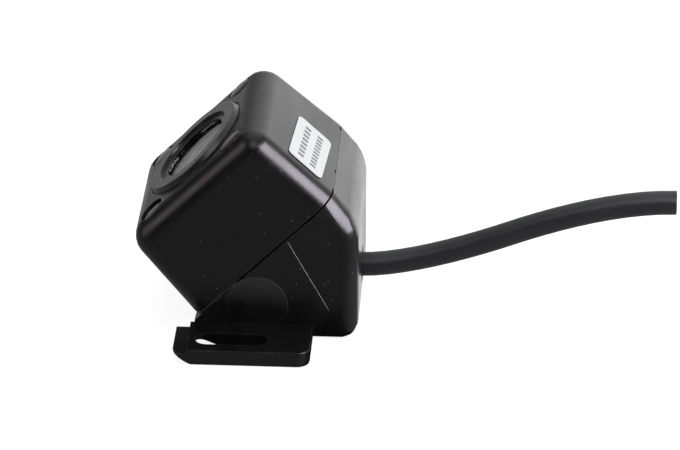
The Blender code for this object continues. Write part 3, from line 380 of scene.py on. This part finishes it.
def sticker_paper(name):
    """White coated paper with two rows of plain printed bars and a faint paper fibre."""
    shade = Shade(name, IOR=1.48, Specular_IOR_Level=0.4)
    centre, long_way, short_way = long_axes("label")
    out = shade.vector("SUBTRACT", shade.place, centre / MM)
    along = shade.vector("DOT_PRODUCT", out, long_way)
    up = shade.vector("DOT_PRODUCT", out, short_way)
    rows = None
    for row_place, half_length, pitch in STICKER_ROWS:
        across = shade.math("ABSOLUTE", shade.math("SUBTRACT", up, row_place))
        in_row = shade.remap(across, 0.62, 0.50)
        in_length = shade.remap(shade.math("ABSOLUTE", along), half_length, half_length - 0.15)
        step = shade.math("FRACT", shade.math("DIVIDE", along, pitch))
        in_bar = shade.remap(shade.math("ABSOLUTE", shade.math("SUBTRACT", step, 0.5)), 0.33, 0.27)
        bar = shade.math("MULTIPLY", shade.math("MULTIPLY", in_row, in_length), in_bar)
        rows = bar if rows is None else shade.math("MAXIMUM", rows, bar)
    fibre = shade.noise(0.35, 4.0)
    ink = shade.math("MULTIPLY", rows, shade.spread(shade.noise(0.25, 2.0), 0.70, 0.95))
    paper = shade.blend(fibre, grey(0.50, 0.99, 1.0, 1.02), grey(0.55, 0.99, 1.0, 1.02))
    colour = shade.blend(ink, paper, grey(0.05, 1.0, 1.02, 1.08))
    rough = shade.spread(fibre, 0.38, 0.52)
    colour, rough = dusty(shade, colour, rough, spacing=1.7, radius=0.05, share=0.2)
    return shade.finish(colour, rough, shade.bump(fibre, 0.006))


def circuit_board(name):
    """Solder mask over copper: slightly lighter tracks on a grid, and tinned via dots."""
    shade = Shade(name, IOR=1.5, Coat_Weight=0.3, Coat_Roughness=0.15)
    tracks = shade.add("ShaderNodeTexBrick", offset=0.35, squash=1.7)
    shade.feed(tracks.inputs["Vector"], shade.vector("SCALE", shade.place, scale=0.9))
    tracks.inputs["Scale"].default_value = 1.0
    tracks.inputs["Mortar Size"].default_value = 0.06
    vias = shade.specks(1.2, 0.18, 0.35)
    weave = shade.noise(0.5, 2.0)
    mask = shade.blend(weave, (0.006, 0.060, 0.024, 1.0), (0.012, 0.095, 0.040, 1.0))
    colour = shade.blend(tracks.outputs["Fac"], mask, (0.03, 0.17, 0.07, 1.0))
    colour = shade.blend(vias, colour, grey(0.55, 1.0, 0.98, 0.92))
    rough = shade.spread(weave, 0.3, 0.45)
    return shade.finish(colour, rough, shade.bump(tracks.outputs["Fac"], 0.02))


def brushed_metal(name, colour, roughness, stretch):
    """Bare metal with fine lines along one direction, patchy tarnish and small dark pits."""
    shade = Shade(name, metallic=1.0)
    lines = shade.noise(0.12, 3.0, stretch=stretch)
    tarnish = shade.noise(1.6, 4.0)
    pits = shade.specks(0.7, 0.04, 0.3)
    dull = tuple(channel * 0.7 for channel in colour)
    painted = shade.blend(tarnish, (*dull, 1.0), (*colour, 1.0))
    painted = shade.blend(pits, painted, grey(0.12))
    rough = shade.spread(lines, roughness - 0.08, roughness + 0.12)
    return shade.finish(painted, rough, shade.bump(lines, 0.004))


def coloured_plastic(name, colour, roughness):
    """Small coloured mouldings and wire insulation, with uneven colour and a soft grain."""
    shade = Shade(name, IOR=1.5, Specular_IOR_Level=0.5)
    cloud = shade.noise(1.4, 3.0)
    grain = shade.noise(0.1, 2.0)
    dull = tuple(channel * 0.78 for channel in colour)
    painted = shade.blend(cloud, (*dull, 1.0), (*colour, 1.0))
    rough = shade.spread(cloud, roughness - 0.06, roughness + 0.08)
    return shade.finish(painted, rough, shade.bump(grain, 0.005))


def coated_glass(name, colour, tint):
    """Polished glass with a coloured anti-reflection coating and a trace of haze."""
    shade = Shade(name, IOR=1.6, Transmission_Weight=1.0, Specular_Tint=(*tint, 1.0))
    haze = shade.noise(1.5, 3.0)
    dull = tuple(channel * 0.94 for channel in colour)
    painted = shade.blend(haze, (*dull, 1.0), (*colour, 1.0))
    return shade.finish(painted, shade.spread(haze, 0.01, 0.05), shade.bump(haze, 0.0005))


def clear_epoxy(name):
    """The slightly yellow clear resin of a lamp."""
    shade = Shade(name, IOR=1.52, Transmission_Weight=0.75)
    swirl = shade.noise(0.8, 3.0)
    colour = shade.blend(swirl, (0.80, 0.80, 0.70, 1.0), (0.93, 0.93, 0.88, 1.0))
    return shade.finish(colour, shade.spread(swirl, 0.05, 0.14), shade.bump(swirl, 0.004))


MATERIALS = {
    "shell_black": moulded_plastic("shell_black", 0.0028, 0.26, painted_light=pad_painted_highlight),
    # A light grey moulding for the gusset-edge beads: a painted highlight.
    "rubbed_edge": moulded_plastic("rubbed_edge", 0.13, 0.34, specular=0.5),
    "ring_black": ring_plastic("ring_black"),
    "window": lens_window("window"),
    "lamp_dark": lamp_filter("lamp_dark"),
    "rubber_black": soft_rubber("rubber_black"),
    "cable_jacket": cable_jacket("cable_jacket"),
    "label_white": sticker_paper("label_white"),
    "inner_black": moulded_plastic("inner_black", 0.012, 0.50, dust_share=0.05),
    "optical_glass": coated_glass("optical_glass", (0.90, 0.88, 0.95), (0.75, 0.55, 1.0)),
    "filter_glass": coated_glass("filter_glass", (0.55, 0.86, 0.88), (1.0, 0.6, 0.55)),
    "board_green": circuit_board("board_green"),
    "led_clear": clear_epoxy("led_clear"),
    "chip_black": coloured_plastic("chip_black", (0.020, 0.020, 0.021), 0.52),
    "screw_steel": brushed_metal("screw_steel", (0.62, 0.62, 0.60), 0.30, (0.1, 1.0, 1.0)),
    "brass": brushed_metal("brass", (0.78, 0.56, 0.24), 0.30, (1.0, 0.1, 1.0)),
    "can_aluminium": brushed_metal("can_aluminium", (0.76, 0.77, 0.79), 0.32, (1.0, 1.0, 0.1)),
    "nylon_white": coloured_plastic("nylon_white", (0.80, 0.78, 0.70), 0.45),
    "wire_red": coloured_plastic("wire_red", (0.50, 0.022, 0.016), 0.42),
    "wire_black": coloured_plastic("wire_black", (0.018, 0.018, 0.019), 0.42),
    "wire_yellow": coloured_plastic("wire_yellow", (0.66, 0.44, 0.03), 0.42),
    "wire_white": coloured_plastic("wire_white", (0.76, 0.76, 0.72), 0.42),
}


# Outer pieces

# The outer nodes, and the width in mm to which their sharp edges are broken
OUTER_EDGES = {
    "front_shell": 0.07,
    "rear_shell": 0.10,
    "lens_ring": 0.04,
    "window_glass": 0.03,
    "cable": 0.12,
    "cable_grommet": 0.10,
    "label": 0.02,
    "lamp_window_1": 0.05,
    "lamp_window_2": 0.05,
    "lamp_window_3": 0.05,
    "lamp_window_4": 0.05,
}

# Corners this close are one, faces that turn less than this are flat, and edges that turn more
# than this are sharp
JOIN_DISTANCE = 0.002 * MM
FLAT_ANGLE = radians(0.4)
SHARP_ANGLE = radians(28.0)
EDGE_SEGMENTS = 2


def mesh_from(name, bm):
    """A new mesh with what the bmesh holds, which is freed."""
    mesh = bpy.data.meshes.new(name)
    bm.to_mesh(mesh)
    bm.free()
    return mesh


def add_object(name, data):
    """A new object in the scene that shows the data."""
    added = bpy.data.objects.new(name, data)
    bpy.context.scene.collection.objects.link(added)
    return added


def whole_mesh(node):
    """A node's solid as a mesh of its own, with split corners joined and flat areas made whole."""
    bm = bmesh.new()
    bm.from_mesh(NODES[node].data)
    bmesh.ops.remove_doubles(bm, verts=bm.verts[:], dist=JOIN_DISTANCE)
    bmesh.ops.dissolve_limit(bm, angle_limit=FLAT_ANGLE, verts=bm.verts[:], edges=bm.edges[:])
    mesh = mesh_from(node + "_skin", bm)
    for name in [a.name for a in mesh.attributes if a.name.startswith("custom_normal")]:
        mesh.attributes.remove(mesh.attributes[name])
    mesh.shade_smooth()
    return mesh


def outer_piece(node, edge):
    """A finished copy of a CAD node, with its sharp edges broken to that width in mm."""
    piece = add_object(node + "_skin", whole_mesh(node))
    bevel = piece.modifiers.new("Broken edges", "BEVEL")
    bevel.width = edge * MM
    bevel.segments = EDGE_SEGMENTS
    bevel.limit_method = "ANGLE"
    bevel.angle_limit = SHARP_ANGLE
    bevel.harden_normals = True
    weighted = piece.modifiers.new("Even shading", "WEIGHTED_NORMAL")
    weighted.keep_sharp = True
    piece.data.materials.clear()
    piece.data.materials.append(MATERIALS[SLOT_OF[node]])
    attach(piece, BODY_OF[node])
    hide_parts(node)


# Fine lines of the moulding that the CAD leaves out, all on the housing

# The radii of the bead in the seam and of the one along a gusset's edge
SEAM_BEAD = 0.17 * MM
EDGE_BEAD = 0.062 * MM

# Where along a bead its width is set, as a share of its length, and how much of it is left there
BEAD_SHAPE = (
    (0.0, 0.2), (0.03, 0.7), (0.1, 1.0), (0.3, 1.0), (0.5, 1.0),
    (0.7, 1.0), (0.9, 1.0), (0.97, 0.7), (1.0, 0.2),
)

# Upwards in the plane of the seam, which crosses the lens axis squarely
SEAM_UP = Vector((LENS_AXIS.z, 0.0, -LENS_AXIS.x))

# The strip in the top of the seam: its depth, how far it lies below the shells, and the two
# stretches of it across the object, which leave a small nick between them
FILLER_DEPTH = 0.30 * MM
FILLER_SUNK = 0.05 * MM
FILLER_SPANS = (("near", -10.5 * MM, -4.8 * MM), ("far", -3.9 * MM, 10.5 * MM))

# The bead in the seam's lower end: its ends up from the lens axis, and how proud its middle is
FOOT_BEAD_TOP = -5.4 * MM
FOOT_BEAD_END = -13.3 * MM
FOOT_BEAD_PROUD = 0.01 * MM

# Corners this close below a shell's highest one are on its top edge
TOP_EDGE_DEPTH = 0.1 * MM


def add_moulding(name, data):
    """Puts a curve or a mesh on the housing as part of its moulding."""
    piece = add_object(name, data)
    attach(piece, BODY_OF["rear_shell"])


def bead(name, first, last, radius, material="shell_black"):
    """A fine straight bead with tapered ends, from one point to another."""
    curve = bpy.data.curves.new(name, "CURVE")
    curve.dimensions = "3D"
    curve.bevel_depth = radius
    curve.bevel_resolution = 3
    curve.use_fill_caps = True
    spline = curve.splines.new("POLY")
    spline.points.add(len(BEAD_SHAPE) - 1)
    for target, (share, width) in zip(spline.points, BEAD_SHAPE):
        target.co = (*first.lerp(last, share), 1.0)
        target.radius = width
    curve.materials.append(MATERIALS[material])
    add_moulding(name, curve)


def seam_filler(name, first, last, thickness):
    """A flat strip in the seam, between two points on its centre line."""
    matrix = Matrix((LENS_AXIS, Vector((0.0, 1.0, 0.0)), SEAM_UP)).transposed().to_4x4()
    matrix.translation = (first + last) / 2
    size = Matrix.Diagonal((thickness, (last - first).length, FILLER_DEPTH, 1.0))
    bm = bmesh.new()
    bmesh.ops.create_cube(bm, size=1.0, matrix=matrix @ size)
    mesh = mesh_from(name, bm)
    mesh.materials.append(MATERIALS["shell_black"])
    add_moulding(name, mesh)


def top_corners(node):
    """Along the lens axis and up from it, in m: a shell's corners on its top edge."""
    points = np.array([v.co for v in NODES[node].data.vertices]) - np.array(LENS_POINT)
    along, up = points @ LENS_AXIS, points @ SEAM_UP
    on_top = up > up.max() - TOP_EDGE_DEPTH
    return along[on_top], up[on_top]


def moulding_lines():
    """The bead at the seam's foot, the filled seam across the top, and the gussets' edge beads with painted
    highlight.
    """
    front_along, front_up = top_corners("front_shell")
    rear_along, _ = top_corners("rear_shell")
    seam_front, seam_rear = front_along.min(), rear_along.max()
    seam_middle = (seam_front + seam_rear) / 2
    flank = max(v.co.y for v in NODES["front_shell"].data.vertices) + FOOT_BEAD_PROUD
    crest = front_up.max() - FILLER_SUNK - FILLER_DEPTH / 2

    def in_seam(across, up):
        return LENS_POINT + LENS_AXIS * seam_middle + SEAM_UP * up + Vector((0.0, across, 0.0))

    for word, start, end in FILLER_SPANS:
        seam_filler("seam_top_" + word, in_seam(start, crest), in_seam(end, crest), seam_front - seam_rear)
    gusset_level = side_levels()[0]
    corners = corners_at(gusset_level)
    apex = corners[corners[:, 2].argmax()]
    heel = corners[corners[:, 0].argmax()]
    for side, word in ((-1, "near"), (1, "far")):
        foot_ends = [in_seam(side * flank, up) for up in (FOOT_BEAD_TOP, FOOT_BEAD_END)]
        bead("seam_foot_" + word, *foot_ends, SEAM_BEAD)
        ends = [Vector((end[0], -side * end[1], end[2])) for end in (apex, heel)]
        # A light bead along the gusset's edge: a painted highlight.
        bead("gusset_edge_" + word, *ends, EDGE_BEAD, "rubbed_edge")


def dress_nodes():
    """Shows the outer nodes as finished copies, and gives the inner ones their materials."""
    for node, obj in sorted(NODES.items()):
        if node in OUTER_EDGES:
            outer_piece(node, OUTER_EDGES[node])
            continue
        material = MATERIALS[SLOT_OF[node]]
        for place in obj.material_slots:
            place.material = material


# Floor

# The sheet's size and emission, and how far it and the black sheet lie below the object's foot
FLOOR_HALF_SIDE = 330 * MM
FLOOR_GLOW = 0.92
FLOOR_GAP = 0.05 * MM
FOOT_SHADE_GAP = 0.1 * MM


def pale_floor():
    """A matt pale sheet under the object, lit from below like a product table."""
    shade = Shade("floor_paper", Specular_IOR_Level=0.0, Emission_Strength=FLOOR_GLOW)
    cloud = shade.noise(60.0, 2.0)
    tooth = shade.noise(0.8, 3.0)
    colour = shade.blend(cloud, grey(0.20), grey(0.23))
    shade.shader.inputs["Emission Color"].default_value = grey(1.0)
    material = shade.finish(colour, shade.spread(tooth, 0.8, 0.9), shade.bump(tooth, 0.02))
    bm = bmesh.new()
    bmesh.ops.create_grid(bm, x_segments=8, y_segments=8, size=FLOOR_HALF_SIDE)
    floor = add_object("floor", mesh_from("floor", bm))
    floor.location = (0, 0, CAD_BOX[0].z - FLOOR_GAP)
    floor.data.materials.append(material)
    floor.visible_glossy = False


def foot_shade():
    """A black sheet just under the floor, so that reflections close to the foot stay dark."""
    low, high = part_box("rear_shell")
    size = Vector((high.x - low.x, high.y - low.y, 1.0))
    centre = Vector(((low.x + high.x) / 2, (low.y + high.y) / 2, low.z - FOOT_SHADE_GAP))
    bm = bmesh.new()
    matrix = Matrix.LocRotScale(centre, None, size)
    bmesh.ops.create_grid(bm, x_segments=1, y_segments=1, size=0.5, matrix=matrix)
    sheet = add_object("foot_shade", mesh_from("foot_shade", bm))
    shade = Shade("foot_shade", 0.9, Specular_IOR_Level=0.0)
    sheet.data.materials.append(shade.finish(shade.blend(shade.noise(5.0), grey(0.004), grey(0.006))))


# Light

def soft_light(name, direction, distance, width, height, power, colour=(1.0, 1.0, 1.0)):
    """A rectangular softbox that faces the object from a direction, in metres and watts."""
    data = bpy.data.lights.new(name, "AREA")
    data.shape = "RECTANGLE"
    data.size = width
    data.size_y = height
    data.energy = power
    data.color = colour
    lamp = add_object(name, data)
    away = Vector(direction).normalized()
    lamp.location = (CAD_BOX[0] + CAD_BOX[1]) / 2 + away * distance
    lamp.rotation_mode = "QUATERNION"
    lamp.rotation_quaternion = (-away).to_track_quat("-Z", "Y")
    lamp.visible_camera = False
    return lamp


# The room's radiance as the reflections see it: a dark room over a dim floor, and a bright band
# along the horizon beyond the object, with its left and its right end
ROOM_RADIANCE = 0.07
FLOOR_RADIANCE = 0.27
BAND_LEFT_RADIANCE = 0.05
BAND_RIGHT_RADIANCE = 1.45

# Where each change starts and ends, in parts of the unit direction: down from the room to the
# floor, along the band, from its near side into it, and down from its top to its full strength.
# The band leans: the higher up, the nearer it starts.
FLOOR_FADE = (0.05, -0.15)
BAND_ALONG_FADE = (-0.55, 0.35)
BAND_NEAR_FADE = (0.30, 0.72)
BAND_TOP_FADE = (0.95, 0.12)
BAND_LEAN = 0.60

# The soft patches: each one's direction, the half angles in degrees at which it is full and gone,
# and its radiance
GLOWS = (
    ((-0.44, 0.90, -0.04), 2, 12, 0.13),
    ((0.88, -0.03, -0.44), 8, 34, 0.16),
    ((0.0, 0.35, 0.93), 10, 45, 0.80),
    ((-0.05, -0.55, 0.82), 4, 26, 1.8),
)


class Room:
    """The world's shader, with short calls for the nodes that say how bright each direction is."""

    def __init__(self, world):
        world.use_nodes = True
        self.tree = world.node_tree
        self.tree.nodes.clear()
        self.direction = self.tree.nodes.new("ShaderNodeTexCoord").outputs["Generated"]
        parts = self.tree.nodes.new("ShaderNodeSeparateXYZ")
        self.tree.links.new(self.direction, parts.inputs[0])
        self.x, self.y, self.z = parts.outputs

    def fade(self, source, low, high, to_low=0.0, to_high=1.0):
        """A smooth change from one value to another while the source goes from low to high."""
        node = self.tree.nodes.new("ShaderNodeMapRange")
        node.interpolation_type = "SMOOTHSTEP"
        for name, value in (("From Min", low), ("From Max", high), ("To Min", to_low), ("To Max", to_high)):
            node.inputs[name].default_value = value
        self.tree.links.new(source, node.inputs["Value"])
        return node.outputs["Result"]

    def math(self, operation, first, second):
        node = self.tree.nodes.new("ShaderNodeMath")
        node.operation = operation
        self.tree.links.new(first, node.inputs[0])
        self.tree.links.new(second, node.inputs[1])
        return node.outputs["Value"]

    def scaled(self, source, factor):
        node = self.tree.nodes.new("ShaderNodeMath")
        node.operation = "MULTIPLY"
        node.inputs[1].default_value = factor
        self.tree.links.new(source, node.inputs[0])
        return node.outputs["Value"]

    def glow(self, way, full, gone, radiance):
        """A round soft patch in that direction."""
        facing = self.tree.nodes.new("ShaderNodeVectorMath")
        facing.operation = "DOT_PRODUCT"
        facing.inputs[1].default_value = Vector(way).normalized()
        self.tree.links.new(self.direction, facing.inputs[0])
        return self.fade(facing.outputs["Value"], cos(radians(gone)), cos(radians(full)), 0.0, radiance)

    def background(self, strength=None):
        """A white background, of strength 1 if none is given."""
        node = self.tree.nodes.new("ShaderNodeBackground")
        node.inputs["Color"].default_value = (1.0, 1.0, 1.0, 1.0)
        if strength is not None:
            self.tree.links.new(strength, node.inputs["Strength"])
        return node.outputs["Background"]


def studio_world():
    """White to look at, and as a light a dark room with a bright band and soft patches."""
    world = bpy.data.worlds.new("studio")
    bpy.context.scene.world = world
    room = Room(world)
    strength = room.fade(room.z, *FLOOR_FADE, ROOM_RADIANCE, FLOOR_RADIANCE)
    band = room.fade(room.x, *BAND_ALONG_FADE, BAND_LEFT_RADIANCE, BAND_RIGHT_RADIANCE)
    lift = room.scaled(room.z, BAND_LEAN)
    band = room.math("MULTIPLY", band, room.fade(room.math("ADD", room.y, lift), *BAND_NEAR_FADE))
    band = room.math("MULTIPLY", band, room.fade(room.z, *BAND_TOP_FADE))
    strength = room.math("ADD", strength, band)
    for patch in GLOWS:
        strength = room.math("ADD", strength, room.glow(*patch))
    sight = room.tree.nodes.new("ShaderNodeLightPath")
    mix = room.tree.nodes.new("ShaderNodeMixShader")
    output = room.tree.nodes.new("ShaderNodeOutputWorld")
    room.tree.links.new(sight.outputs["Is Camera Ray"], mix.inputs["Fac"])
    room.tree.links.new(room.background(strength), mix.inputs[1])
    room.tree.links.new(room.background(), mix.inputs[2])
    room.tree.links.new(mix.outputs["Shader"], output.inputs["Surface"])


def light_object():
    """The room, a softbox overhead that the plastic doesn't reflect, and two that it only reflects."""
    studio_world()
    overhead = soft_light("overhead", (0.30, 0.30, 1.0), distance=0.60, width=0.70, height=0.70, power=5.2)
    overhead.visible_glossy = False
    right = soft_light("edge_right", (0.81, -0.38, 0.41), distance=0.40, width=0.37, height=0.35,
                       power=5.9, colour=(0.93, 0.88, 1.0))
    right.visible_diffuse = False
    left = soft_light("edge_left", (-0.87, -0.256, 0.39), distance=0.40, width=0.18, height=0.24,
                      power=0.24, colour=(1.0, 0.86, 0.93))
    left.visible_diffuse = False
    bpy.context.scene.view_settings.view_transform = "Standard"


# Camera

def aim_camera():
    """The camera of the picture, placed by its distance and angles from the target."""
    data = bpy.data.cameras.new("camera")
    data.sensor_width = 36.0
    data.lens = CAMERA_LENS
    data.clip_start = 0.01
    data.clip_end = 10.0
    camera = add_object("camera", data)
    level = cos(CAMERA_ELEVATION)
    back = Vector((sin(CAMERA_AZIMUTH) * level, -cos(CAMERA_AZIMUTH) * level, sin(CAMERA_ELEVATION)))
    right = Vector((cos(CAMERA_AZIMUTH), sin(CAMERA_AZIMUTH), 0.0))
    up = back.cross(right)
    turned_right = right * cos(CAMERA_ROLL) + up * sin(CAMERA_ROLL)
    turned_up = up * cos(CAMERA_ROLL) - right * sin(CAMERA_ROLL)
    pose = Matrix((turned_right, turned_up, back)).transposed().to_4x4()
    pose.translation = CAMERA_TARGET + back * CAMERA_DISTANCE
    camera.matrix_world = pose
    bpy.context.scene.camera = camera


dress_nodes()
moulding_lines()
pale_floor()
foot_shade()
light_object()
aim_camera()
